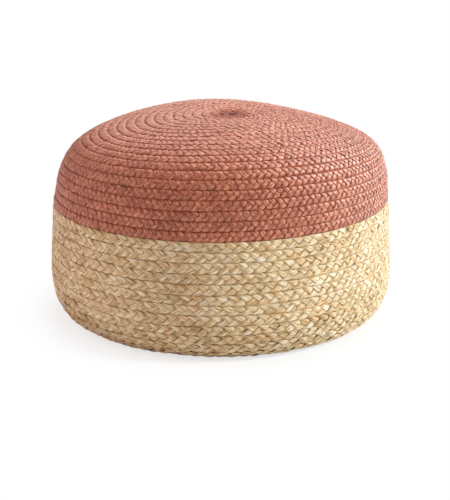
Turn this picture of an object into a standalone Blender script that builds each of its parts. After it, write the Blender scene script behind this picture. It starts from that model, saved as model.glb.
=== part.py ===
"""Round stuffed floor pouf, covered all over by a flat braid coiled in one long spiral.

The coil starts in a small eye in the middle of the crown and winds outward, clockwise seen from
above, over the shoulder and down the side.  Its first part is dyed coral and its second, wider
part is natural jute, which goes on round the bottom edge and under the base.  Each part is one
filled solid with the rows of the coil raised on it, and the two meet along the coil's own line.

Metres, +Z up, origin in the middle of the flat base.  A place on the skin is given by its run,
the distance from the eye measured along the skin, and by its bearing, the angle round the body
counted from the front (-Y) towards the right (+X).
"""
import math
from bisect import bisect_right

import bmesh
import bpy
from mathutils import Vector

# Driving sizes
MM = 0.001
CORAL_ROW = 13.14 * MM          # width of one row of the dyed braid
JUTE_ROW = 13.85 * MM           # width of one row of the natural braid
CORAL_CREASE = 1.8 * MM         # depth of the sewn crease between two rows
JUTE_CREASE = 2.6 * MM
SEAM_GAP = 0.3 * MM             # clearance between the two solids
WELD = 0.02 * MM                # points closer than this are one point

# Resolution and layout of the coil, counted in steps of a turn
STEPS = 48                      # steps in one turn
EYE_STEPS = 18                  # steps hidden in the eye, where the braid is turned under
FRONT_STEP = 38                 # step at which the coil first passes the front
CORAL_TURNS = 23                # full turns from there to the colour change at the front
BACK_STEPS = STEPS // 2         # from the front to the middle of the back
SPLICE_STEPS = 8                # length over which one braid tapers out and the next one in
JUTE_TURNS = 15                 # turns from the splice to the end under the base
ROW_FLATS = (0.28, 0.72)        # the rounded top of a row, as parts of its width

# How the stuffed form leans and sags
LEAN = Vector((9.2 * MM, -18.3 * MM))       # how far the crown is pushed over, to the right and front
LEAN_FROM = 163.5 * MM                      # height at which the lean begins
EYE_SHIFT = 4.0 * MM                        # the eye sits this far right of the crown's middle
DIP_DEPTH, DIP_WIDTH = 2.6 * MM, 75.0 * MM  # broad dip in the middle of the crown
EYE_DEPTH, EYE_WIDTH = 3.0 * MM, 7.0 * MM   # small pit of the eye itself
SADDLE_COS, SADDLE_SIN = 5.2 * MM, 3.0 * MM  # crown higher at front and back than at its sides
SHOULDER_RUN = 312.5 * MM                   # run over which the crown's unevenness fades out
WAVE = 0.4 * MM                             # hand-made unevenness of the side
CREASE_FADE = 22.0 * MM                     # creases fade out over this height above the base

# Half section of the body at the tops of the rows, from the eye down to the flat base
SECTION = (
    # radius, height (mm)
    (0.0, 288.6),
    (58.0, 288.0),
    (105.0, 284.4),
    (149.0, 276.2),
    (180.0, 267.4),
    (205.6, 255.3),
    (217.0, 245.6),
    (225.9, 233.4),
    (236.4, 205.4),
    (240.9, 178.0),
    (243.9, 158.0),
    (246.6, 120.0),
    (249.0, 85.0),
    (250.2, 58.0),
    (249.1, 41.3),
    (245.6, 26.7),
    (239.0, 13.0),
    (229.5, 3.6),
    (213.0, 0.0),
    (150.0, 0.0),
)
BODY_HEIGHT = SECTION[0][1] * MM            # crown above the base, before the dip round the eye

MATERIALS = {
    # name: base colour, roughness
    "coral_braid": ((0.42, 0.15, 0.10, 1.0), 0.85),
    "jute_braid": ((0.56, 0.38, 0.21, 1.0), 0.88),
}


def clear_scene():
    """Remove every object that the file starts with."""
    for item in list(bpy.data.objects):
        bpy.data.objects.remove(item, do_unlink=True)


def smooth(value):
    """Ease from 0 to 1 with flat ends."""
    value = min(max(value, 0.0), 1.0)
    return value * value * (3.0 - 2.0 * value)


def section_curve(per_span=12):
    """Smooth curve through SECTION, as (run, radius, height, outward normal) samples."""
    knots = [Vector((radius * MM, height * MM)) for radius, height in SECTION]
    mirrored = Vector((-knots[1].x, knots[1].y))
    beyond = knots[-1] + (knots[-1] - knots[-2])
    knots = [mirrored, *knots, beyond]
    points = []
    for before, start, end, after in zip(knots, knots[1:], knots[2:], knots[3:]):
        chords = [math.sqrt((b - a).length) for a, b in ((before, start), (start, end), (end, after))]
        for step in range(per_span):
            points.append(spline_point(before, start, end, after, chords, step / per_span))
    points.append(knots[-2])
    samples, run = [], 0.0
    for index, point in enumerate(points):
        if index:
            run += (point - points[index - 1]).length
        ahead = points[min(index + 1, len(points) - 1)] - points[max(index - 1, 0)]
        normal = Vector((-ahead.y, ahead.x)).normalized() if index else Vector((0.0, 1.0))
        samples.append((run, point.x, max(point.y, 0.0), normal))
    return samples


def spline_point(before, start, end, after, chords, part):
    """Point of a centripetal Catmull-Rom span at `part` of the way from start to end."""
    first, middle, last = chords
    leave = ((start - before) / first - (end - before) / (first + middle)
             + (end - start) / middle) * middle
    arrive = ((end - start) / middle - (after - start) / (middle + last)
              + (after - end) / last) * middle
    cube, square = part ** 3, part ** 2
    return (start * (2 * cube - 3 * square + 1) + leave * (cube - 2 * square + part)
            + end * (3 * square - 2 * cube) + arrive * (cube - square))


CURVE = section_curve()
RUNS = [sample[0] for sample in CURVE]


def skin_point(run, bearing, depth=0.0):
    """Point of the skin at a run and bearing, sunk by `depth` below the tops of the rows."""
    at = min(max(bisect_right(RUNS, run) - 1, 0), len(CURVE) - 2)
    (low, radius0, height0, normal0), (high, radius1, height1, normal1) = CURVE[at:at + 2]
    part = (run - low) / (high - low)
    radius = radius0 + (radius1 - radius0) * part
    height = height0 + (height1 - height0) * part
    normal = normal0.lerp(normal1, part)

    side = math.sin(bearing), -math.cos(bearing)
    reach = min(run / SHOULDER_RUN, 1.0)
    swell = 16.0 * reach ** 2 * (1.0 - reach) ** 2
    wave = WAVE * smooth(height / (60.0 * MM)) * smooth(run / SHOULDER_RUN) * (
        math.sin(3.0 * bearing + 1.1) + 0.6 * math.sin(5.0 * bearing - 12.0 * height / BODY_HEIGHT))
    sunk = depth * smooth(height / CREASE_FADE)
    lean = min(max((height - LEAN_FROM) / (BODY_HEIGHT - LEAN_FROM), 0.0), 1.1)

    radius += wave - sunk * normal.x
    height += (swell * (SADDLE_COS * math.cos(2.0 * bearing) + SADDLE_SIN * math.sin(2.0 * bearing))
               - DIP_DEPTH * math.exp(-(run / DIP_WIDTH) ** 2)
               - EYE_DEPTH * math.exp(-(run / EYE_WIDTH) ** 2)
               - sunk * normal.y)
    return Vector((radius * side[0] + LEAN.x * lean + EYE_SHIFT * (1.0 - reach) ** 2,
                   radius * side[1] + LEAN.y * lean,
                   max(height, 0.0)))


# Steps at which the braids begin, taper and end
CHANGE_STEP = FRONT_STEP + CORAL_TURNS * STEPS          # colour change, at the front
CORAL_END = CHANGE_STEP + BACK_STEPS + SPLICE_STEPS // 2
JUTE_START = CORAL_END - SPLICE_STEPS
JUTE_END = JUTE_START + JUTE_TURNS * STEPS
CHANGE_RUN = CORAL_ROW * JUTE_START / STEPS


def bearing_at(step):
    """Bearing of a step of the coil, which winds clockwise seen from above."""
    return 2.0 * math.pi * (FRONT_STEP - step) / STEPS


def coral_run(step):
    """Run of the dyed braid's outer edge, which tapers back to the row before at its end."""
    if step <= EYE_STEPS:
        return 0.0
    taper = smooth((step - JUTE_START) / SPLICE_STEPS)
    return CORAL_ROW * (step / STEPS - taper)


def jute_run(step):
    """Run of the natural braid's outer edge, which tapers back to the row before at its end."""
    if step <= JUTE_START:
        return coral_run(step)
    taper = smooth((step - JUTE_END + SPLICE_STEPS) / SPLICE_STEPS)
    return CHANGE_RUN + JUTE_ROW * ((step - JUTE_START) / STEPS - taper)


def row_section(step, inner, outer, crease):
    """Points across a row: a crease on either side and the rounded top between them."""
    section = []
    for part in (0.0, *ROW_FLATS, 1.0):
        depth = crease if part in (0.0, 1.0) else 0.0
        section.append(skin_point(inner + (outer - inner) * part, bearing_at(step), depth))
    return section


def add_face(mesh, points):
    """Add a face through the points, leaving out those that coincide."""
    corners = []
    for point in points:
        if all((point - corner).length > WELD for corner in corners):
            corners.append(point)
    if len(corners) > 2:
        mesh.faces.new([mesh.verts.new(corner) for corner in corners])


def loft_row(mesh, steps, inner_run, outer_run, crease):
    """Loft the braid's section along the coil, from one step to the next."""
    for step in steps:
        here, ahead = (row_section(at, inner_run(at), outer_run(at), crease) for at in (step, step + 1))
        for lane in range(len(here) - 1):
            add_face(mesh, (here[lane], here[lane + 1], ahead[lane + 1], ahead[lane]))


def open_ring(mesh, lowest=0.0):
    """The open edges of a mesh that lie at or above the height `lowest`."""
    return [edge for edge in mesh.edges
            if edge.is_boundary and min(vert.co.z for vert in edge.verts) >= lowest]


def close_ring(mesh, ring, lift=0.0, middle=None):
    """Raise a ring by `lift` and fill it with one flat face, or with a fan about a middle point."""
    for vert in {vert for edge in ring for vert in edge.verts}:
        vert.co.z += lift
    faces = bmesh.ops.holes_fill(mesh, edges=ring, sides=0)["faces"]
    if middle is not None:
        hub = bmesh.ops.poke(mesh, faces=faces)["verts"][0]
        hub.co = middle + Vector((0.0, 0.0, lift))


def finish_object(mesh, name, material, parent, collection):
    """Turn a closed bmesh into a named, smooth shaded object with its material and parent."""
    bmesh.ops.recalc_face_normals(mesh, faces=mesh.faces)
    data = bpy.data.meshes.new(name)
    mesh.to_mesh(data)
    mesh.free()
    data.shade_smooth()
    data.set_sharp_from_angle(angle=math.radians(50.0))
    data.materials.append(material)
    item = bpy.data.objects.new(name, data)
    item.parent = parent
    collection.objects.link(item)


def make_material(name):
    """Principled material of a braid."""
    colour, roughness = MATERIALS[name]
    material = bpy.data.materials.new(name)
    material.use_nodes = True
    shader = material.node_tree.nodes["Principled BSDF"]
    shader.inputs["Base Color"].default_value = colour
    shader.inputs["Roughness"].default_value = roughness
    shader.inputs["Metallic"].default_value = 0.0
    return material


def build_crown(middle):
    """Filled upper part, under the dyed braid."""
    mesh = bmesh.new()
    eye = skin_point(0.0, 0.0, CORAL_CREASE)
    edges = [skin_point(coral_run(step), bearing_at(step), CORAL_CREASE)
             for step in range(EYE_STEPS, STEPS + 1)]
    for here, ahead in zip(edges, edges[1:]):
        add_face(mesh, (eye, here, ahead))
    opening = row_section(STEPS + 1, 0.0, coral_run(STEPS + 1), CORAL_CREASE)
    add_face(mesh, (edges[-1], *reversed(opening)))
    loft_row(mesh, range(STEPS + 1, CORAL_END), lambda step: coral_run(step - STEPS), coral_run,
             CORAL_CREASE)
    bmesh.ops.remove_doubles(mesh, verts=mesh.verts, dist=WELD)
    close_ring(mesh, open_ring(mesh), SEAM_GAP / 2.0, middle)
    return mesh


def build_base(middle):
    """Filled lower part, under the natural braid, with its flat underside."""
    mesh = bmesh.new()

    def inner_run(step):
        return coral_run(step) if step < CORAL_END else jute_run(step - STEPS)

    loft_row(mesh, range(JUTE_START, JUTE_END), inner_run, jute_run, JUTE_CREASE)
    bmesh.ops.remove_doubles(mesh, verts=mesh.verts, dist=WELD)
    close_ring(mesh, open_ring(mesh, BODY_HEIGHT / 4.0), -SEAM_GAP / 2.0, middle)
    close_ring(mesh, open_ring(mesh))
    return mesh


def build_pouf():
    """Make the two parts of the pouf, on one parent in a collection of their own."""
    clear_scene()
    collection = bpy.data.collections.new("braided_floor_pouf")
    bpy.context.scene.collection.children.link(collection)
    root = bpy.data.objects.new("braided_floor_pouf", None)
    collection.objects.link(root)

    change = skin_point(CORAL_ROW * CHANGE_STEP / STEPS, 0.0).z      # the change's height at the front
    middle = Vector((0.0, 0.0, change))
    finish_object(build_crown(middle), "coral_braid_crown", make_material("coral_braid"),
                  root, collection)
    finish_object(build_base(middle), "jute_braid_base", make_material("jute_braid"),
                  root, collection)


build_pouf()
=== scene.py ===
"""Round stuffed floor pouf in a coiled flat braid, dyed coral above and natural jute below.

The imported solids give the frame.  On them lie three-strand braids, every strand a tube that weaves
along the coil over and under the others.  Metres, +Z up, the front is -Y.  A place on the skin is its
run, measured along the skin from the eye in the middle of the crown, and its bearing, the angle from
the front towards the right.
"""
import logging
import math
from dataclasses import dataclass, field
from enum import Enum

import bpy
import numpy as np
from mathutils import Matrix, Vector


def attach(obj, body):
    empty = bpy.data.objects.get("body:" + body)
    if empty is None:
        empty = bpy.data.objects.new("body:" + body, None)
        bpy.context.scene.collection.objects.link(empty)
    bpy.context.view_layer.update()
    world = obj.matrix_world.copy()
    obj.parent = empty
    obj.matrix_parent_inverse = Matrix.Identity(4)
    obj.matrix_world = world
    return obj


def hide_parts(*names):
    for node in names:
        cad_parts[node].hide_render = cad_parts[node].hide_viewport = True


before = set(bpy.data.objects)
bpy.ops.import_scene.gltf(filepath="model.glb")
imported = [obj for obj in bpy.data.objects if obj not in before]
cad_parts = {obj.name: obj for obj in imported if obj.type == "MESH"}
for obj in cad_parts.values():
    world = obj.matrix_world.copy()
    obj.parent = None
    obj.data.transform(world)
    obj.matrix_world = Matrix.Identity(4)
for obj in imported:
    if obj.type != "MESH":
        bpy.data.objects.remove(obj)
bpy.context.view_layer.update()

LOG = logging.getLogger("pouf")
MM = 0.001
TURN = 2.0 * math.pi
LEAST = 0.5 * MM  # nearest that a piece comes to the middle of the crown or of the base
SAMPLES = 720  # places a turn at which the length of a braid is measured
Array = np.ndarray
Arrays = dict[str, np.ndarray]
Socket = bpy.types.NodeSocket
Pair = tuple[float, float]
Triple = tuple[float, float, float]
Colour = Triple


class Node(Enum):
    """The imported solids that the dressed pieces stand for."""

    CROWN = "coral_braid_crown"
    BASE = "jute_braid_base"


class Slot(Enum):
    """Material slots of the record."""

    CORAL = "coral_braid"
    JUTE = "jute_braid"


def smooth(value: Array) -> Array:
    """Ease from 0 to 1 with flat ends: 3x^2 - 2x^3 of the value held between 0 and 1."""
    share = np.clip(value, 0.0, 1.0)
    return share * share * (3.0 - 2.0 * share)


def held(value: Array, power: float) -> Array:
    """Hold a value softly between -1 and 1: x / (1 + |x|^n)^(1/n) for the power n."""
    return value / (1.0 + np.abs(value) ** power) ** (1.0 / power)


def wander(along: Array, period: float, seed: int) -> Array:
    """Smooth random walk between -1 and 1.

    Random levels stand one period apart, and the value eases from each to the next.

    Args:
        along: Distances at which it is wanted.
        period: Distance between two levels.
        seed: Seed of the levels.

    Returns:
        One value for each distance.
    """
    place = (along - along.min()) / period
    levels = np.random.default_rng(seed).uniform(-1.0, 1.0, int(place.max()) + 3)
    whole = np.floor(place).astype(int)
    part = smooth(place - whole)
    return levels[whole] * (1.0 - part) + levels[whole + 1] * part


@dataclass(frozen=True)
class Skin:
    """Outer surface of the stuffed form at the tops of the rows, with its lean and sag.

    A smooth curve through the half section is turned about the middle, then the crown is pushed
    over, dipped round the eye and raised at front and back.
    """

    # Radius and height of the points of the half section, in millimetres.
    section: tuple[Pair, ...] = (
        (0.0, 288.6), (58.0, 288.0), (105.0, 284.4), (149.0, 276.2), (180.0, 267.4),
        (205.6, 255.3), (217.0, 245.6), (225.9, 233.4), (236.4, 205.4), (240.9, 178.0),
        (243.9, 158.0), (246.6, 120.0), (249.0, 85.0), (250.2, 58.0), (249.1, 41.3),
        (245.6, 26.7), (239.0, 13.0), (229.5, 3.6), (213.0, 0.0), (150.0, 0.0), (0.0, 0.0),
    )
    steps: int = 12  # points of the curve from one of these to the next
    lean: Pair = (9.2 * MM, -18.3 * MM)  # push of the top to the right and to the back
    lean_from: float = 163.5 * MM  # height at which the lean begins
    eye_shift: float = 4.0 * MM  # pull of the eye to the right
    dips: tuple[Pair, ...] = ((2.6 * MM, 75.0 * MM), (3.0 * MM, 7.0 * MM))  # depth and width of each
    saddle: Pair = (5.2 * MM, 3.0 * MM)  # rise at front and back, and along one diagonal
    shoulder_run: float = 312.5 * MM  # run where the saddle ends
    wave: float = 0.4 * MM  # size of the bulges round the side
    wave_foot: float = 60.0 * MM  # height below which they fade
    # Bulges round the pouf, share of the wave, shift and twist of each set.
    bulges: tuple[tuple[float, ...], ...] = ((3.0, 1.0, 1.1, 0.0), (5.0, 0.6, 0.0, -12.0))
    curve: Arrays = field(default_factory=dict, compare=False)  # its arrays, by run

    def __post_init__(self) -> None:
        """Work out the smooth section once.

        Between two knots it is a cubic, 2t^3 - 3t^2 + 1 and so on, whose end slopes are weighed by the
        square roots of the chords, so that the curve doesn't overshoot.  A mirrored knot before the
        first keeps the crown's top level.
        """
        knots = np.array(self.section) * MM
        mirrored = knots[1] * (-1.0, 1.0)
        knots = np.vstack((mirrored, knots, 2.0 * knots[-1] - knots[-2]))
        spans = len(knots) - 3
        chords = np.sqrt(np.linalg.norm(np.diff(knots, axis=0), axis=1))[:, None]
        first, middle, last = (chords[at:at + spans] for at in range(3))
        before, start, end, after = (knots[at:at + spans] for at in range(4))
        leave = ((start - before) / first - (end - before) / (first + middle)
                 + (end - start) / middle) * middle
        arrive = ((end - start) / middle - (after - start) / (middle + last)
                  + (after - end) / last) * middle
        part = (np.arange(self.steps) / self.steps)[None, :, None]
        cube, square = part ** 3, part ** 2
        points = (start[:, None] * (2 * cube - 3 * square + 1)
                  + leave[:, None] * (cube - 2 * square + part)
                  + end[:, None] * (3 * square - 2 * cube) + arrive[:, None] * (cube - square))
        points = np.vstack((points.reshape(-1, 2), knots[-2]))
        run = np.concatenate(([0.0], np.cumsum(np.linalg.norm(np.diff(points, axis=0), axis=1))))
        ahead = np.gradient(points, axis=0)
        normal = np.column_stack((-ahead[:, 1], ahead[:, 0]))
        normal /= np.linalg.norm(normal, axis=1)[:, None]
        normal[0] = (0.0, 1.0)
        self.curve.update(run=run, radius=points[:, 0], height=np.maximum(points[:, 1], 0.0),
                          out=normal[:, 0], up=normal[:, 1])

    @property
    def length(self) -> float:
        """Run from the eye to the middle of the base."""
        return float(self.curve["run"][-1])

    def radius_at(self, run: Array) -> Array:
        """Radius of the turned form at a run."""
        return np.interp(run, self.curve["run"], self.curve["radius"])

    def place(self, run: Array, bearing: Array, depth: Array | float) -> Array:
        """Find points of the skin.

        Point = turned section at the run, moved inward along its normal by the depth, plus the
        crown's lean, which grows with height, the saddle, 16r^2(1-r)^2 for the share r of the way to
        the shoulder, which turns with twice the bearing, and two round dips about the eye.

        Args:
            run: Distance from the eye along the skin.
            bearing: Angle from the front towards the right.
            depth: How far the point lies under the tops of the rows.

        Returns:
            The points, with a last axis of three.
        """
        radius, height, out, up = (np.interp(run, self.curve["run"], self.curve[key])
                                   for key in ("radius", "height", "out", "up"))
        top = self.section[0][1] * MM
        reach = np.minimum(run / self.shoulder_run, 1.0)
        swell = 16.0 * reach ** 2 * (1.0 - reach) ** 2
        wave = self.wave * smooth(height / self.wave_foot) * smooth(run / self.shoulder_run) * sum(
            share * np.sin(count * bearing + shift + twist * height / top)
            for count, share, shift, twist in self.bulges)
        lean = np.maximum((height - self.lean_from) / (top - self.lean_from), 0.0)
        dips = sum(deep * np.exp(-(run / wide) ** 2) for deep, wide in self.dips)
        radius = radius + wave - depth * out
        height = height - depth * up - dips + swell * (
            self.saddle[0] * np.cos(2.0 * bearing) + self.saddle[1] * np.sin(2.0 * bearing))
        aside = radius * np.sin(bearing) + self.lean[0] * lean + self.eye_shift * (1.0 - reach) ** 2
        return np.stack((aside, radius * -np.cos(bearing) + self.lean[1] * lean, height), axis=-1)


def put(name: str, data: bpy.types.ID) -> bpy.types.Object:
    """Make an object of the data, in the scene.

    Args:
        name: Its name.
        data: Its mesh, light or camera.

    Returns:
        The new object.
    """
    item = bpy.data.objects.new(name, data)
    bpy.context.scene.collection.objects.link(item)
    return item


@dataclass(frozen=True)
class Weave:
    """Arrays of a mesh made of many strips."""

    points: Array
    faces: list[Array]  # point numbers, one array for each count of corners
    maps: Arrays  # two numbers for each face corner
    tones: Arrays  # one number for each point

    def dress(self, name: str, node: Node, material: bpy.types.Material) -> bpy.types.Object:
        """Make and report the piece, smooth shaded and with its origin at the frame's.

        Args:
            name: Its name.
            node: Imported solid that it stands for.
            material: Its finish.

        Returns:
            The new object.
        """
        data = bpy.data.meshes.new(name)
        corners = np.concatenate([faces.ravel() for faces in self.faces]).astype(np.int32)
        totals = np.concatenate([np.full(len(faces), faces.shape[1]) for faces in self.faces])
        starts = np.concatenate(([0], np.cumsum(totals)[:-1]))
        data.vertices.add(len(self.points))
        data.vertices.foreach_set("co", self.points.astype(np.float32).ravel())
        data.loops.add(len(corners))
        data.loops.foreach_set("vertex_index", corners)
        data.polygons.add(len(totals))
        data.polygons.foreach_set("loop_start", starts.astype(np.int32))
        data.update(calc_edges=True)
        for key, values in self.maps.items():
            layer = data.uv_layers.new(name=key, do_init=False)
            layer.uv.foreach_set("vector", values.astype(np.float32).ravel())
        for key, values in self.tones.items():
            layer = data.attributes.new(key, "FLOAT", "POINT")
            layer.data.foreach_set("value", values.astype(np.float32).ravel())
        data.shade_smooth()
        data.materials.append(material)
        piece = put(name, data)
        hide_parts(node.value)
        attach(piece, "root")
        LOG.info("%s: %d faces", name, len(totals))
        return piece


@dataclass(frozen=True)
class Tubes:
    """Closed tubes through rings of points."""

    rings: Array  # points as (tube, ring, corner, xyz)
    spacing: float  # distance between two rings of a tube
    girth: float  # length round a tube
    apart: Pair = (7.3, 0.37)  # metres along and round between the fibres of two tubes
    lane_room: float = 1.15  # width of a lane of the baking map, in girths
    margin: float = 0.06  # free share of a lane at each side
    border: float = 0.002  # free share of the map at both ends of a lane

    def faces(self) -> list[Array]:
        """Face (i, j) joins points j and j + 1 of rings i and i + 1; one face closes each end.

        Returns:
            Point numbers of the faces along the tubes, and of their ends.
        """
        tubes, count, sides = self.rings.shape[:3]
        first = (np.arange(tubes)[:, None, None] * count + np.arange(count - 1)[None, :, None]) * sides
        corner = np.arange(sides)
        after = (corner + 1) % sides
        quads = np.stack((first + corner, first + sides + corner, first + sides + after,
                          first + after), axis=-1)
        caps = np.arange(tubes)[:, None] * count * sides + corner
        return [quads.reshape(-1, 4), np.concatenate((caps, caps[:, ::-1] + (count - 1) * sides))]

    def maps(self) -> Arrays:
        """Lay out both maps.

        The map "Strand" gives metres along and round each tube.  The map "OFBake" cuts the tubes into
        equal lengths and lays them side by side in a square.

        Returns:
            Names of the maps to two numbers for each face corner.
        """
        tubes, count, sides = self.rings.shape[:3]
        tube = np.arange(tubes)[:, None, None, None]
        ring = np.arange(count - 1)[None, :, None, None]
        to_ring = ring + np.array((0, 1, 1, 0))
        to_side = np.arange(sides)[None, None, :, None] + np.array((0, 0, 1, 1))
        strand = (to_ring * self.spacing + tube * self.apart[0],
                  to_side * self.girth / sides + self.apart[1] * tube)
        lanes = math.sqrt(tubes * count * self.spacing / (self.girth * self.lane_room))
        lanes = max(int(round(lanes)), 1)
        per_lane = math.ceil(tubes * (count - 1) / lanes)
        lane, within = np.divmod(tube * (count - 1) + ring, per_lane)
        along = (within + np.array((0, 1, 1, 0))) / per_lane
        across = (lane + self.margin + (1.0 - 2.0 * self.margin) * to_side / sides) / lanes
        bake = (self.border + (1.0 - 2.0 * self.border) * along, across)
        maps = {}
        for key, pair in (("Strand", strand), ("OFBake", bake)):
            shape = (tubes, count - 1, sides, 4)
            flat = np.stack([np.broadcast_to(values, shape) for values in pair], axis=-1).reshape(-1, 2)
            maps[key] = np.concatenate((flat, np.repeat(flat[:1], 2 * tubes * sides, axis=0)))
        return maps


class Tree:
    """Short hand for adding nodes to a shader node tree."""

    def __init__(self, tree: bpy.types.NodeTree) -> None:
        """Keep the tree."""
        self.tree = tree

    def feed(self, node: bpy.types.Node, inputs: dict[str | int, object]) -> bpy.types.Node:
        """Give a node its inputs.

        Args:
            node: The node.
            inputs: Socket name or number to a value, or to the socket that feeds it.

        Returns:
            The same node.
        """
        for key, value in inputs.items():
            if isinstance(value, Socket):
                self.tree.links.new(value, node.inputs[key])
            else:
                node.inputs[key].default_value = value
        return node

    def add(self, kind: str, inputs: dict[str | int, object] | None = None,
            **settings: object) -> bpy.types.Node:
        """Add a node.

        Args:
            kind: Blender's name of the node type.
            inputs: Its inputs.
            settings: The node's own properties.

        Returns:
            The new node.
        """
        node = self.tree.nodes.new(kind)
        for key, value in settings.items():
            setattr(node, key, value)
        return self.feed(node, inputs or {})

    def maths(self, operation: str, *values: object) -> Socket:
        """Add a Math node and return its output."""
        return self.add("ShaderNodeMath", dict(enumerate(values)), operation=operation).outputs[0]

    def noise(self, vector: Socket, stretch: object, detail: float, rough: float = 0.55) -> Socket:
        """Add a noise that is stretched by a Mapping node and return its value."""
        mapped = self.add("ShaderNodeMapping", {"Vector": vector, "Scale": stretch}).outputs[0]
        return self.add("ShaderNodeTexNoise", {"Vector": mapped, "Scale": 1.0, "Detail": detail,
                                               "Roughness": rough}).outputs["Fac"]

    def spread(self, value: Socket, low: object, high: object) -> Socket:
        """Triple the values between low and high to 0 and 1, held there."""
        return self.add("ShaderNodeMapRange", {"Value": value, "From Min": low, "From Max": high},
                        clamp=True).outputs[0]

    def mix(self, factor: object, first: object, second: object, blend: str = "MIX") -> Socket:
        """Mix two colours, at the node's colour inputs 6 and 7, and return the result, its output 2."""
        return self.add("ShaderNodeMix", {0: factor, 6: first, 7: second}, data_type="RGBA",
                        blend_type=blend, clamp_factor=True).outputs[2]


def new_material(name: str) -> tuple[bpy.types.Material, Tree, bpy.types.Node]:
    """Make a material.

    Args:
        name: Its name.

    Returns:
        The material, its tree and its shader node.
    """
    made = bpy.data.materials.new(name)
    made.use_nodes = True
    return made, Tree(made.node_tree), made.node_tree.nodes["Principled BSDF"]


# Sockets of the fibre's node group; a finish has a field for each input.
FIBRE_INPUTS = {
    "Color": ("Shade", "Body", "Light", "Stain", "Fleck"),
    "Float": ("Fleck Share", "Streak", "Mottle", "Roughness"),
    "Vector": ("Tuft",),
}
FIBRE_OUTPUTS = {"Color": ("Colour",), "Float": ("Roughness", "Relief", "Lift")}


@dataclass(frozen=True)
class PlantFibre:
    """Plant fibre lying along a strand, as a node group built once.

    Fine noise along the strand gives fibres and a broader one bundles; together they are the streaks.
    The strand's tone, its painted shade and dark spots, and a mottle shift them between shade and
    light; the painted shade falls where strands go under and in the creases.  A slow noise mixes in
    the stain, sparse spots are flecks of bark, and the dark end at a join has their colour.  Relief is
    the fibres over the bundles.  Lift is high on raised light fibres, which shine.
    """

    # Changes a metre of the noises along and across the strand, and of the mottle.
    fine: Triple = (60.0, 1000.0, 1.0)
    slow: Triple = (42.0, 190.0, 1.0)
    spots: Triple = (160.0, 520.0, 1.0)
    mottle: Triple = (16.0, 16.0, 22.0)
    noise_span: Pair = (0.3, 0.7)  # values between which a noise mostly lies
    tone: float = 0.22  # share of the strand's tone in the colour
    painted_shade_and_dark_spots: float = 0.08  # share of its painted shade and dark spots in the colour
    stain_span: Pair = (0.46, 0.62)  # values of the slow noise where the stain comes in
    fleck_from: float = 0.80  # value of the spots where flecks begin
    fleck_edge: float = 0.05  # softness of their edge
    fleck_cover: float = 0.8  # how much of the colour below they hide
    rough: float = 0.25  # share of the fine fibres in the roughness
    relief: Pair = (0.5, 0.9)  # shares of fine fibres and bundles in the relief
    raised_span: Pair = (-1.2, 0.8)  # values of the painted shade and dark spots where the shine comes in
    light_span: Pair = (0.15, 0.55)  # values of the streaks where it does

    def group(self) -> bpy.types.NodeTree:
        """Build the node group.

        Returns:
            The node group, or the one made before.
        """
        known = bpy.data.node_groups.get("plant_fibre")
        if known:
            return known
        group = bpy.data.node_groups.new("plant_fibre", "ShaderNodeTree")
        for side, kinds in (("INPUT", FIBRE_INPUTS), ("OUTPUT", FIBRE_OUTPUTS)):
            for kind, names in kinds.items():
                for name in names:
                    group.interface.new_socket(name, in_out=side, socket_type=f"NodeSocket{kind}")
        tree = Tree(group)
        given = tree.add("NodeGroupInput").outputs
        strand = tree.add("ShaderNodeUVMap", uv_map="Strand").outputs[0]
        place = tree.add("ShaderNodeTexCoord").outputs["Object"]
        tone, painted_shade_and_dark_spots, knot = (tree.add("ShaderNodeAttribute", attribute_name=name).outputs["Fac"]
                            for name in ("tone", "painted_shade_and_dark_spots", "knot"))

        maths, spread, noise, mix = tree.maths, tree.spread, tree.noise, tree.mix
        fine = noise(strand, self.fine, detail=3.0, rough=0.6)
        bundle = noise(strand, given["Tuft"], detail=3.0)
        mottle = noise(place, self.mottle, detail=2.0)
        streak = maths("ADD", *(maths("MULTIPLY", spread(part, *self.noise_span), 0.5)
                                for part in (fine, bundle)))
        value = maths("MULTIPLY_ADD", maths("SUBTRACT", streak, 0.5), given["Streak"], 0.5)
        value = maths("MULTIPLY_ADD", tone, self.tone, value)
        value = maths("MULTIPLY_ADD", maths("SUBTRACT", mottle, 0.5), given["Mottle"], value)
        # painted shade: darker where the strand goes under, towards the row's edges and over the
        # stuffing; the crown's middle and the joins are darkened too
        value = maths("MULTIPLY_ADD", painted_shade_and_dark_spots, self.painted_shade_and_dark_spots, value)
        dark = mix(spread(value, 0.0, 0.5), given["Shade"], given["Body"])
        colour = mix(spread(value, 0.5, 1.0), dark, given["Light"])

        stained = mix(1.0, colour, given["Stain"], "MULTIPLY")
        stain = spread(noise(strand, self.slow, detail=2.0), *self.stain_span)
        start = maths("SUBTRACT", self.fleck_from, given["Fleck Share"])
        spots = noise(strand, self.spots, detail=1.0, rough=0.4)
        fleck = spread(spots, start, maths("ADD", start, self.fleck_edge))
        dark = maths("MAXIMUM", maths("MULTIPLY", fleck, self.fleck_cover), knot)
        colour = mix(maths("MINIMUM", dark, 1.0), mix(stain, colour, stained), given["Fleck"])

        rough = maths("MULTIPLY_ADD", maths("SUBTRACT", fine, 0.5), self.rough, given["Roughness"])
        relief = maths("ADD", *(maths("MULTIPLY", part, share)
                                for part, share in zip((fine, bundle), self.relief)))
        lift = maths("MULTIPLY", spread(painted_shade_and_dark_spots, *self.raised_span), spread(streak, *self.light_span))
        tree.add("NodeGroupOutput",
                 {"Colour": colour, "Roughness": rough, "Relief": relief, "Lift": lift})
        return group


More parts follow.
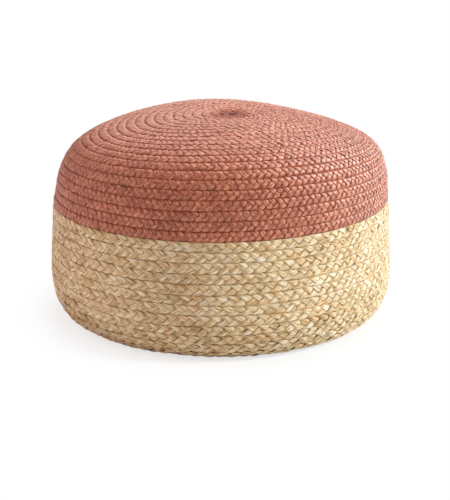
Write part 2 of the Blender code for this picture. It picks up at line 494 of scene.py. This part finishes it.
@dataclass(frozen=True)
class BraidFinish:
    """Colours and surface of one braid's fibre, in linear light."""

    name: str
    shade: Colour
    body: Colour
    light: Colour
    stain: Colour  # multiplies the fibre's colour in patches
    fleck: Colour  # flecks of bark and dark ends
    fleck_share: float
    streak: float  # contrast of the streaks
    mottle: float  # contrast of the mottle
    roughness: float
    gloss: float  # strength of the fibre's own reflection
    coat: float  # waxy shine of the raised fibres
    sheen: float  # soft light at grazing angles
    tuft: Triple  # changes a metre of the bundles, along and across the strand
    sheen_roughness: float = 0.5
    coat_roughness: float = 0.6
    coat_ior: float = 1.8
    relief: float = 0.8 * MM

    def material(self) -> bpy.types.Material:
        """Build the material: the fibre's node group, its relief and a shine where it is raised.

        Returns:
            The new material.
        """
        made, tree, shader = new_material(self.name)
        inputs = {name: getattr(self, name.lower().replace(" ", "_"))
                  for names in FIBRE_INPUTS.values() for name in names}
        inputs.update({name: (*inputs[name], 1.0) for name in FIBRE_INPUTS["Color"]})
        fibre = tree.add("ShaderNodeGroup", inputs, node_tree=PlantFibre().group()).outputs
        bump = tree.add("ShaderNodeBump", {"Strength": 1.0, "Distance": self.relief,
                                           "Height": fibre["Relief"]}).outputs["Normal"]
        tree.feed(shader, {
            "Base Color": fibre["Colour"], "Roughness": fibre["Roughness"], "Normal": bump,
            "Specular IOR Level": self.gloss, "Sheen Weight": self.sheen,
            "Sheen Roughness": self.sheen_roughness, "Coat Roughness": self.coat_roughness,
            "Coat IOR": self.coat_ior, "Coat Weight": tree.maths("MULTIPLY", fibre["Lift"], self.coat)})
        return made


CORAL_FINISH = BraidFinish(
    name="coral_braid_fibre", shade=(0.2070, 0.0263, 0.0080), body=(0.4470, 0.0915, 0.0288),
    light=(0.7152, 0.2627, 0.1240), stain=(0.94, 1.04, 1.06), fleck=(0.13, 0.035, 0.02),
    fleck_share=0.01, streak=1.6, mottle=0.20, roughness=0.55, gloss=0.3, coat=1.0, sheen=0.15,
    tuft=(170.0, 480.0, 1.0))
JUTE_FINISH = BraidFinish(
    name="jute_braid_fibre", shade=(0.3456, 0.1992, 0.0741), body=(0.6720, 0.4811, 0.2454),
    light=(0.8928, 0.8068, 0.6300), stain=(1.04, 0.91, 0.74), fleck=(0.20, 0.105, 0.045),
    fleck_share=0.06, streak=1.7, mottle=0.35, roughness=0.60, gloss=0.45, coat=0.5, sheen=0.06,
    tuft=(80.0, 420.0, 1.0))


@dataclass(frozen=True)
class Coil:
    """Line of the coil: its turns, counted from the eye, and the edges of its rows.

    The run of a row's outer edge grows by one row a turn; the inner edge is the outer edge one turn
    before.  Over the splice the dyed braid narrows to nothing while the natural one widens.
    """

    coral_row: float = 13.14 * MM
    jute_row: float = 13.85 * MM
    front_turn: float = 38.0 / 48.0  # share of a turn at which the coil passes the front
    splice_start: float = 1162.0 / 48.0  # turn at which the braid starts to change
    splice_end: float = 1170.0 / 48.0
    coral_stray: float = 0.35 * MM  # how far the rows' edges stray
    jute_stray: float = 1.1 * MM
    even_turns: float = 3.0  # turns that stay even; the stray grows over as many again
    # Share of the stray, waves a turn and shift of each of its waves.
    strays: tuple[Triple, ...] = ((0.45, 3.37, 0.0), (0.35, 7.19, 1.3), (0.20, 12.61, 4.1))

    def bearing(self, turn: Array) -> Array:
        """Bearing of the coil, which winds clockwise seen from above."""
        return TURN * (self.front_turn - turn)

    def stray(self, turn: Array) -> Array:
        """How far a row's edge lies from an even coil: a sum of sines of the turn."""
        size = self.coral_stray + (self.jute_stray - self.coral_stray) * smooth(turn - self.splice_start)
        return size * smooth((turn - self.even_turns) / self.even_turns) * sum(
            share * np.sin(TURN * waves * turn + shift) for share, waves, shift in self.strays)

    def outer(self, turn: Array) -> Array:
        """Run of the coil's outer edge, by the row width of whichever braid is there."""
        return self.stray(turn) + np.where(
            turn < self.splice_start, self.coral_row * turn,
            self.coral_row * self.splice_start + self.jute_row * (turn - self.splice_start))

    def turn_at(self, run: float) -> float:
        """Turn at which the outer edge of the natural braid reaches a run."""
        return self.splice_start + (run - self.coral_row * self.splice_start) / self.jute_row

    def splice(self, turn: Array) -> Array:
        """Share of the row that has changed from the dyed to the natural braid."""
        return smooth((turn - self.splice_start) / (self.splice_end - self.splice_start))

    def edges(self, turn: Array, natural: bool) -> tuple[Array, Array]:
        """Find the edges of one braid's row.

        Args:
            turn: Turns of the coil.
            natural: Whether it is the natural braid.

        Returns:
            Runs of the inner and of the outer edge.
        """
        low, high = np.maximum(self.outer(turn - 1.0), 0.0), self.outer(turn)
        change = high - (high - low) * self.splice(turn)
        return (change, high) if natural else (low, change)


@dataclass(frozen=True)
class Strand:
    """Size and path of one strand of a flat braid.

    Over one period the strand swings across the row and back, and climbs and sinks twice.
    """

    half_width: float
    half_depth: float
    period: float  # length over which the path repeats
    rise: float  # half the height between over and under
    arch: float = 0.3 * MM  # fall of the row's edges below its middle
    uneven: float = 1.0  # size of the random walks
    lean: float = 0.3  # more rise on the pouf's right side, and less on its left
    slack: float = 0.95  # share of the rise at front and back
    level: float = 0.3  # share of the arch that is the same all round
    brim: float = 0.3  # lift at the ends of the swing
    cross: float = 1.12  # speed across the row, against an even zigzag
    climb: float = 1.8  # steepness of the climb, against a plain sine
    hold: Pair = (6.0, 4.0)  # powers that flatten both at their peaks
    sharp: float = 0.99  # sharpness of the zigzag's turns
    lag: float = 0.05  # phase by which the climb comes late
    swell: Pair = (0.10, 0.06)  # growth in width and depth on the way over
    slim: Pair = (0.35, 0.40)  # shares of both left where the row runs out
    taper: float = 0.8  # power that rounds the section's sides
    bevel: float = 0.55  # power that flattens its top
    belly: float = 0.8  # depth of its underside, in half depths
    close: float = 0.65  # share by which an under strand comes up at the row's edge


@dataclass(frozen=True)
class Walks:
    """Random walks of a hand-made braid, and how much a full walk changes."""

    drift_over: float = 70.0 * MM  # length over which a strand drifts
    common_over: float = 110.0 * MM  # length over which the whole braid does
    sway_over: float = 0.5  # periods over which swing, girth and height change
    girth_over: float = 0.36
    bob_over: float = 0.42
    drift: float = 0.12  # phase by which a strand runs ahead
    common: float = 0.05  # periods by which the whole braid does
    shift: float = 0.25 * MM  # how far the whole braid moves across its row
    sway: float = 0.06  # growth of the swing
    wider: float = 0.10  # growth of a full strand's width
    thinner: float = 0.07  # loss of its depth
    bob: float = 0.30 * MM  # lift of a strand
    loose_walk: float = 0.7  # how much more a loose braid wanders
    loose_climb: float = 0.5  # how much more it climbs

    def take(self, along: Array, strand: Strand, loose: Array, seed: int) -> Arrays:
        """Take the walks along a braid.

        Args:
            along: Distances along the braid.
            strand: The braid's strand.
            loose: How loose the braid is at each distance, from 0 to 1.
            seed: Seed of the first walk.

        Returns:
            Drift, sway, girth and bob as (strand, ring), and the whole braid's walk.
        """
        lengths = {"drift": self.drift_over, "sway": strand.period * self.sway_over,
                   "girth": strand.period * self.girth_over, "bob": strand.period * self.bob_over}
        walks = {}
        for number, (key, length) in enumerate(lengths.items()):
            three = np.stack([wander(along, length, seed + 10 * number + at) for at in range(3)])
            walks[key] = three * strand.uneven * (1.0 + self.loose_walk * loose)
        walks["common"] = strand.uneven * wander(along, self.common_over, seed + 10 * len(lengths))
        return walks


@dataclass(frozen=True)
class Tones:
    """How light a strand is at random, how much painted shade darkens its sides, and how dark it is in
    the crown's middle and at its joins.
    """

    sway: float = 0.35  # share of each random walk in the tone
    drift: float = 0.25
    girth: float = 0.2
    side: float = 0.4  # painted shade: fall of the tone towards the section's sides
    eye: float = 10.0  # fall of the value in the crown's dark middle
    eye_reach: Triple = (17.0 * MM, 5.0 * MM, 9.0 * MM)  # its radius, and more of it at the front
    join: float = 2.0  # fall of the value at a join, its dark end
    knot: float = 1.8  # how fast a join turns dark
    darkest: float = 0.85  # how dark it gets

    def middle(self, run: Array, front: Array) -> Array:
        """Share of the crown's dark middle, exp(-(run / reach)^2), by the bearing's cosine."""
        reach = self.eye_reach[0] + self.eye_reach[1] * front + self.eye_reach[2] * front ** 2
        return np.exp(-(run / reach) ** 2)


@dataclass(frozen=True)
class Join:
    """Place where a new strand was laid in and the old one's dark end shows."""

    turn: float
    side: float  # place across the row, from -1 at its inner to 1 at its outer edge
    radius: float


@dataclass(frozen=True)
class Braid:
    """Flat three-strand braid laid along the coil.

    With the phase p growing by a full turn each period, a strand's place across the row is a zigzag
    asin(sin p) with its peaks held flat, and its climb is sin(2p - lag) with flattened peaks.  The
    three strands are a third of a turn apart, so each passes over on its way out to an edge and
    under on its way back.
    """

    name: str
    node: Node
    slot: Slot
    skin: Skin
    coil: Coil
    start_turn: float
    end_turn: float
    row: float
    strand: Strand
    spacing: float  # distance between two rings of a strand
    sides: int  # corners of a strand's section
    seed: int
    parts: int = 1  # pieces into which it is cut
    joins: tuple[Join, ...] = ()
    loose_turn: float = math.inf  # turn from which it gets loose
    loosening: float = 1.5  # turns over which it does
    tuck: float = 0.6 * MM  # depth at which it starts
    tuck_over: float = 18.0 * MM  # length over which it comes up from there
    splice_sink: float = 0.8 * MM  # depth where its row runs out
    join_sink: float = 0.5 * MM  # depth of a dark end
    crease: float = 0.15 * MM  # gap that it keeps to the edges of its row
    fullest: float = 1.05  # widest that a row counts, in planned widths
    narrowest: float = 0.1 * MM  # least half width that it keeps
    walks: Walks = Walks()
    tones: Tones = Tones()

    def line(self) -> tuple[Array, Array, Array]:
        """Find even places along the coil, by the sum of the small arcs radius x angle.

        Returns:
            Turns, distances and metres a turn.
        """
        count = int((self.end_turn - self.start_turn) * SAMPLES) + 2
        turn = np.linspace(self.start_turn, self.end_turn, count)
        low, high = self.coil.edges(turn, self.slot is Slot.JUTE)
        radius = np.maximum(self.skin.radius_at((low + high) / 2.0), LEAST)
        pace = np.hypot(radius * TURN, np.gradient((low + high) / 2.0, turn))
        length = np.concatenate(([0.0], np.cumsum((pace[1:] + pace[:-1]) / 2.0 * np.diff(turn))))
        along = np.arange(0.0, length[-1], self.spacing)
        return np.interp(along, length, turn), along, np.interp(along, length, pace)

    def profile(self) -> tuple[Array, Array]:
        """Find the corners of a strand's section, in halves of its width and depth.

        All but the last lie on the flattened top, x = cos^taper and y = sin^bevel of even angles.

        Returns:
            Places across and up the section.
        """
        angle = np.linspace(0.0, math.pi, self.sides - 1)
        wide = np.sign(np.cos(angle)) * np.abs(np.cos(angle)) ** self.strand.taper
        high = np.abs(np.sin(angle)) ** self.strand.bevel
        return np.append(wide, 0.0), np.append(high, -self.strand.belly)

    def path(self, along: Array, walks: Arrays) -> tuple[Array, Array]:
        """Work out the paths of the three strands.

        Args:
            along: Distances along the braid.
            walks: Random walks of the strands.

        Returns:
            Swing across the row and climb, each about -1 to 1.
        """
        strand = self.strand
        phase = (TURN * (along / strand.period + self.walks.common * walks["common"])
                 + TURN * np.arange(3)[:, None] / 3.0 + self.walks.drift * walks["drift"])
        zigzag = np.arcsin(strand.sharp * np.sin(phase)) * 4.0 / TURN
        swing = held(strand.cross * zigzag, strand.hold[0])
        climb = held(strand.climb * np.sin(2.0 * phase - strand.lag), strand.hold[1])
        return swing, climb + strand.brim * (swing ** 2 - 0.5)

    def joined(self, turn: Array, pace: Array, offset: Array, edge: Array) -> Array:
        """Share of the joins at each corner: a sum of exp(-(distance / radius)^2)."""
        gaps = (np.hypot((turn[:, None] - join.turn) * pace[:, None], offset - join.side * edge)
                / join.radius for join in self.joins)
        return sum((np.exp(-gap ** 2) for gap in gaps), np.zeros_like(offset))

    def rings(self) -> tuple[Array, Arrays]:
        """Work out the rings of the three strands and their tones.

        Each ring is the profile, set square to the strand's path in the skin; where it would pass
        the row's edge it is pressed flat against its neighbour.  An under strand lies deeper, less so
        by the cube of the way to the row's edge, and the row is arched by the power 2.2 of that way.
        Tone falls by the cube of the place across the section, as painted shade on the strand's sides.
        The value below is the climb, painted lighter over and darker under, less the sixth power of the
        way to the row's edge as painted shade in the creases, the crown's dark middle and the joins.

        Returns:
            Points as (strand, ring, corner, xyz), and the attributes.
        """
        strand = self.strand
        turn, along, pace = self.line()
        low, high = self.coil.edges(turn, self.slot is Slot.JUTE)
        fill = np.clip((high - low) / self.row, 0.0, self.fullest)
        loose = smooth((turn - self.loose_turn) / self.loosening)
        walks = self.walks.take(along, strand, loose, self.seed)
        swing, climb = self.path(along, walks)

        girth = walks["girth"]
        half_width = strand.half_width * (1.0 + strand.swell[0] * climb + self.walks.wider * girth)
        half_width = half_width * (strand.slim[0] + (1.0 - strand.slim[0]) * fill)
        half_depth = strand.half_depth * (1.0 + strand.swell[1] * climb - self.walks.thinner * girth)
        half_depth = half_depth * (strand.slim[1] + (1.0 - strand.slim[1]) * fill)
        across = (self.row / 2.0 * fill * swing * (1.0 + self.walks.sway * walks["sway"])
                  + self.walks.shift * walks["common"])
        bearing = self.coil.bearing(turn)
        slack = strand.slack + strand.lean * np.sin(bearing)
        under = strand.rise * (1.0 - climb) * (slack + self.walks.loose_climb * loose)
        depth = (strand.half_depth - self.walks.bob * walks["bob"] + self.splice_sink * (1.0 - fill)
                 + self.tuck * (1.0 - smooth(along / self.tuck_over)))

        wide, tall = self.profile()
        aside, upward = half_width[..., None] * wide, half_depth[..., None] * tall
        slope = np.gradient(across, self.spacing, axis=1)
        square = 1.0 / np.hypot(1.0, slope)
        edge = np.maximum((high - low) / 2.0 - self.crease, self.narrowest)[:, None]
        offset = np.clip(across[..., None] + aside * square[..., None], -edge, edge)
        behind = -aside * (slope * square)[..., None] / pace[:, None]
        run = np.clip(((low + high) / 2.0)[:, None] + offset, LEAST, self.skin.length - LEAST)
        to_edge = np.abs(offset / edge)
        join = self.joined(turn, pace, offset, edge)
        arch = strand.arch * (strand.level + (1.0 - strand.level) * slack[:, None])
        sink = (depth[..., None] + under[..., None] * (1.0 - strand.close * to_edge ** 3) - upward
                + arch * to_edge ** 2.2 + self.join_sink * join)
        rings = self.skin.place(run, self.coil.bearing(turn[:, None] + behind), sink)
        rings[..., 2] = np.maximum(rings[..., 2], 0.0)
        look = self.tones
        tone = look.sway * walks["sway"] + look.drift * walks["drift"] + look.girth * walks["girth"]
        middle = look.middle(run, np.cos(bearing)[:, None])
        # painted shade: the tone falls at the strand's sides, and the value falls where it goes under
        # and in the creases at the row's edges
        return rings, {"tone": tone[..., None] - look.side * np.abs(wide) ** 3,
                       "painted_shade_and_dark_spots": climb[..., None] - to_edge ** 6 - look.eye * middle - look.join * join,
                       "knot": np.minimum(look.knot * join, look.darkest)}

    def build(self, material: bpy.types.Material) -> None:
        """Make the strands, cut into parts of equal length.

        Args:
            material: Their finish.
        """
        rings, tones = self.rings()
        girth = math.pi * (self.strand.half_width + self.strand.half_depth)
        cuts = np.linspace(0, rings.shape[1] - 1, self.parts + 1).astype(int)
        for number, (first, last) in enumerate(zip(cuts, cuts[1:]), start=1):
            within = slice(first, last + 1)
            tubes = Tubes(rings[:, within], self.spacing, girth)
            weave = Weave(tubes.rings.reshape(-1, 3), tubes.faces(), tubes.maps(),
                          {key: values[:, within].ravel() for key, values in tones.items()})
            weave.dress(f"{self.name}_{number}", self.node, material)


@dataclass(frozen=True)
class Stuffing:
    """The stuffed form under the braids, seen only at the bottom of the creases and painted dark there
    as painted shade.
    """

    name: str
    node: Node
    slot: Slot
    skin: Skin
    start: float
    end: float
    depth: float  # under the tops of the rows
    rows: int = 48
    steps: int = 120
    cell: float = 8.0 * MM  # size of a face in the fibre's map
    # painted shade: these make the whole form dark, like the shaded bottom of a crease
    tone: float = -1.0
    painted_shade_and_dark_spots: float = -1.2

    def build(self, material: bpy.types.Material) -> None:
        """Make the form: the skin at even runs and bearings, sunk by the depth, with closed ends.

        Args:
            material: Its finish.
        """
        run = np.linspace(self.start, self.end, self.rows)[:, None]
        bearing = np.linspace(0.0, TURN, self.steps, endpoint=False)[None]
        points = self.skin.place(*np.broadcast_arrays(run, bearing), self.depth)
        index = np.arange(self.rows * self.steps).reshape(self.rows, self.steps)
        after = np.roll(index, -1, axis=1)
        quads = np.stack((index[:-1], index[1:], after[1:], after[:-1]), axis=-1).reshape(-1, 4)
        caps = np.stack((index[0], index[-1][::-1]))
        corners = np.concatenate((quads.ravel(), caps.ravel()))
        strand = np.column_stack((corners % self.steps, corners // self.steps)) * self.cell
        tones = {"tone": np.full(index.size, self.tone), "painted_shade_and_dark_spots": np.full(index.size, self.painted_shade_and_dark_spots)}
        weave = Weave(points.reshape(-1, 3), [quads, caps], {"Strand": strand}, tones)
        piece = weave.dress(self.name, self.node, material)


DAYLIGHT: Colour = (0.952, 1.0, 1.0)
LAMPLIGHT: Colour = (1.0, 0.75, 0.70)


@dataclass(frozen=True)
class Lamp:
    """Round soft light, aimed at the middle of the pouf."""

    name: str
    around: float  # degrees from the front towards the right
    above: float  # degrees above the floor
    size: float
    power: float  # watts
    tint: Colour
    only_gloss: bool = False  # draws only the shine of the fibres, not their colour
    distance: float = 3.0
    aim: Triple = (0.0, 0.0, 0.14)

    def build(self) -> None:
        """Make the light."""
        around, above = math.radians(self.around), math.radians(self.above)
        level = math.cos(above)
        ray = Vector((math.sin(around) * level, -math.cos(around) * level, math.sin(above)))
        data = bpy.data.lights.new(self.name, "AREA")
        data.shape, data.size, data.energy, data.color = "DISK", self.size, self.power, self.tint
        item = put(self.name, data)
        item.location = Vector(self.aim) + self.distance * ray
        item.rotation_euler = (-ray).to_track_quat("-Z", "Y").to_euler()
        item.visible_diffuse = not self.only_gloss


@dataclass(frozen=True)
class Studio:
    """Pale floor that glows white towards its rim, soft lights, white surroundings and the camera."""

    camera_at: Triple = (5.9 * MM, -1.4994, 0.552)
    camera_down: float = 0.3066  # angle by which it looks down
    lens: float = 75.91  # millimetres, as is the sensor's width
    sensor: float = 36.0
    floor_radius: float = 4.0
    floor_sides: int = 128
    floor_colour: Colour = (0.93, 0.93, 0.92)
    floor_roughness: float = 0.9
    glow: Pair = (0.06, 0.32)  # distances at which the floor starts to turn white, and is white
    ambient: float = 0.03  # even light from the surroundings
    # Name, degrees around and above, diameter, watts and tint.
    lamps: tuple[Lamp, ...] = (
        Lamp("key_light", 75.0, 35.0, 0.8, 95.0, DAYLIGHT),
        Lamp("top_light", 160.0, 72.0, 1.8, 47.6, DAYLIGHT),
        Lamp("back_light", 145.0, 30.0, 1.6, 13.2, DAYLIGHT),
        Lamp("rear_light", 180.0, 35.0, 1.8, 13.0, DAYLIGHT),
        Lamp("left_light", -90.0, 30.0, 1.8, 28.0, LAMPLIGHT),
        Lamp("front_light", -45.0, 30.0, 1.8, 14.6, LAMPLIGHT),
        Lamp("rim_gloss", 110.0, 20.0, 1.4, 76.0, DAYLIGHT, only_gloss=True),
    )

    def build(self) -> None:
        """Make the floor, the lights, the surroundings and the camera."""
        self.floor()
        for lamp in self.lamps:
            lamp.build()
        self.surroundings()
        self.camera()

    def floor(self) -> None:
        """Make the floor: a large pale disc, which the eye sees turn evenly white away from the pouf."""
        angle = np.linspace(0.0, TURN, self.floor_sides, endpoint=False)
        rim = np.column_stack((np.cos(angle), np.sin(angle), 0.0 * angle)) * self.floor_radius
        data = bpy.data.meshes.new("floor")
        data.from_pydata(rim.tolist(), [], [tuple(range(self.floor_sides))])
        material, tree, shader = new_material("floor_pale")
        place = tree.add("ShaderNodeTexCoord").outputs["Object"]
        away = tree.add("ShaderNodeVectorMath", {0: place}, operation="LENGTH").outputs["Value"]
        near, far = self.glow
        glow = tree.add("ShaderNodeMapRange", {"Value": away, "From Min": near, "From Max": far},
                        interpolation_type="SMOOTHSTEP").outputs[0]
        glow = tree.maths("MULTIPLY", glow, tree.add("ShaderNodeLightPath").outputs["Is Camera Ray"])
        white, black = (1.0, 1.0, 1.0, 1.0), (0.0, 0.0, 0.0, 1.0)
        tree.feed(shader, {
            "Base Color": tree.mix(glow, (*self.floor_colour, 1.0), black),
            "Emission Color": tree.mix(glow, black, white), "Emission Strength": 1.0,
            "Roughness": self.floor_roughness, "Specular IOR Level": 0.0})
        data.materials.append(material)
        put("floor", data)

    def surroundings(self) -> None:
        """Make the surroundings: white to the eye, and a weak even light on the pouf."""
        world = bpy.data.worlds.new("studio")
        world.use_nodes = True
        tree = Tree(world.node_tree)
        seen = tree.add("ShaderNodeLightPath").outputs["Is Camera Ray"]
        strength = tree.add("ShaderNodeMapRange",
                            {"Value": seen, "To Min": self.ambient, "To Max": 1.0}).outputs[0]
        tree.feed(world.node_tree.nodes["Background"],
                  {"Color": (1.0, 1.0, 1.0, 1.0), "Strength": strength})
        bpy.context.scene.world = world

    def camera(self) -> None:
        """Make the camera, a little above the pouf and level across."""
        data = bpy.data.cameras.new("camera")
        data.lens, data.sensor_width = self.lens, self.sensor
        item = put("camera", data)
        item.location = self.camera_at
        item.rotation_euler = (math.pi / 2.0 - self.camera_down, 0.0, 0.0)
        bpy.context.scene.camera = item
        bpy.context.scene.view_settings.view_transform = "Standard"


@dataclass(frozen=True)
class Pouf:
    """The whole pouf: the stuffed form, the dyed braid of the crown and the natural one of the base."""

    skin: Skin = field(default_factory=Skin)
    coil: Coil = Coil()
    first_turn: float = 0.5  # turn where the dyed braid comes out of the eye
    base_run: float = 497.0 * MM  # run where the natural braid lies flat under the base
    loose_turn: float = 31.5  # turn from which the natural braid is loose
    coral: Strand = Strand(half_width=3.3 * MM, half_depth=0.85 * MM, period=28.0 * MM, rise=0.75 * MM,
                           arch=1.3 * MM, uneven=1.3, lean=0.45, brim=0.4)
    jute: Strand = Strand(half_width=4.1 * MM, half_depth=1.1 * MM, period=44.0 * MM, rise=0.95 * MM,
                          arch=0.4 * MM, uneven=1.5, brim=0.4)
    flat_jute: Strand = Strand(half_width=4.1 * MM, half_depth=1.5 * MM, period=44.0 * MM, rise=1.0 * MM,
                               uneven=0.6)
    coral_joins: tuple[Join, ...] = (Join(19.886, -1.0, 3.0 * MM),)
    jute_joins: tuple[Join, ...] = (
        Join(24.671, -0.25, 3.2 * MM), Join(25.701, -0.1, 2.6 * MM), Join(25.586, -0.75, 2.0 * MM),
        Join(24.936, 0.5, 2.4 * MM), Join(25.913, -0.9, 2.4 * MM), Join(27.663, 0.75, 1.8 * MM),
        Join(28.719, 0.0, 1.6 * MM), Join(29.69, 0.2, 1.8 * MM), Join(27.3, 0.4, 2.0 * MM),
        Join(30.4, -0.6, 2.0 * MM),
    )
    eye_tuck: float = 3.5 * MM  # depth at which the dyed braid starts in the eye
    crown_depth: float = 2.6 * MM  # depths of both stuffed halves under the rows
    base_depth: float = 3.2 * MM
    crown_past: float = 4.0 * MM  # how far past the colour change the crown's half ends
    base_past: float = 1.0 * MM  # and the base's half begins

    def pieces(self) -> list[Stuffing | Braid]:
        """List the stuffed halves and the lengths of braid.

        Returns:
            Both halves, the dyed braid, the natural one, and the natural one under the base.
        """
        coil = self.coil
        crown, base = (Node.CROWN, Slot.CORAL, self.skin), (Node.BASE, Slot.JUTE, self.skin)
        change = coil.coral_row * coil.splice_start
        base_turn, last_turn = coil.turn_at(self.base_run), coil.turn_at(self.skin.length)
        return [
            Stuffing("crown_stuffing", *crown, start=LEAST, end=change + self.crown_past,
                     depth=self.crown_depth),
            Stuffing("base_stuffing", *base, start=change + self.base_past,
                     end=self.skin.length - LEAST, depth=self.base_depth),
            Braid("coral_braid", *crown, coil, start_turn=self.first_turn, end_turn=coil.splice_end,
                  row=coil.coral_row, strand=self.coral, spacing=2.0 * MM, sides=7, seed=11, parts=3,
                  joins=self.coral_joins, tuck=self.eye_tuck),
            Braid("jute_braid", *base, coil, start_turn=coil.splice_start, end_turn=base_turn,
                  row=coil.jute_row, strand=self.jute, spacing=2.8 * MM, sides=8, seed=211, parts=2,
                  joins=self.jute_joins, loose_turn=self.loose_turn),
            Braid("jute_underside", *base, coil, start_turn=base_turn, end_turn=last_turn,
                  row=coil.jute_row, strand=self.flat_jute, spacing=5.0 * MM, sides=6, seed=311),
        ]

    def build(self) -> None:
        """Make both stuffed halves and the braids, each in its finish."""
        finishes = {Slot.CORAL: CORAL_FINISH.material(), Slot.JUTE: JUTE_FINISH.material()}
        for piece in self.pieces():
            piece.build(finishes[piece.slot])


def main() -> None:
    """Build the studio and the pouf."""
    logging.basicConfig(level=logging.INFO, format="%(name)s %(message)s")
    Studio().build()
    Pouf().build()


if __name__ == "__main__":
    main()
